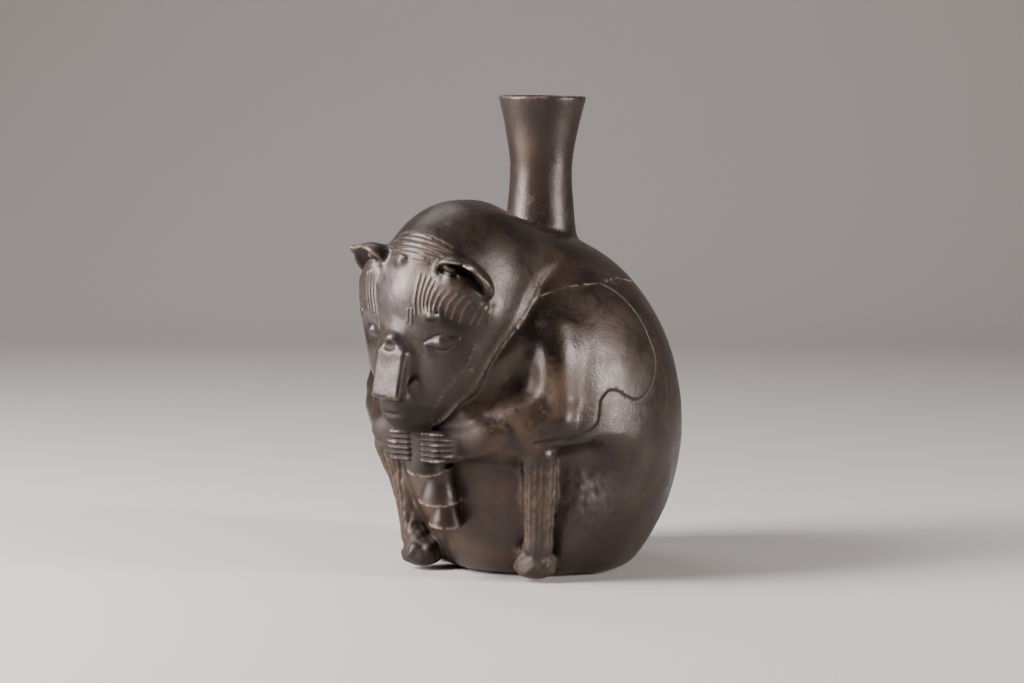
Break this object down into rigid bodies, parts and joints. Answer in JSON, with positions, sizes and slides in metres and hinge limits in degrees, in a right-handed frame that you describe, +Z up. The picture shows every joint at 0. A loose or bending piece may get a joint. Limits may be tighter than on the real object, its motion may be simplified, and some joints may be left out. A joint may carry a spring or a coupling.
{
  "type": "ceramic effigy vessel",
  "caption": "Hollow burnished blackware bottle shaped as a seated bear holding a jointed stalk, with a flaring spout rising behind its hump.",
  "frame": {"origin": "on the underside, at the middle of the round body's base, directly below the body's axis", "axes": "+Z up along the spout; the bear faces -Y; +X is the bear's own left"},
  "size_m": [0.1477, 0.1686, 0.2204],
  "materials": {
    "blackware": "burnished and smoked low-fired clay, dark brown-grey with a mauve satin shine, tan patches and worn pale edges"
  },
  "bodies": {
    "root": {"bear_vessel": "blackware"}
  },
  "joints": []
}
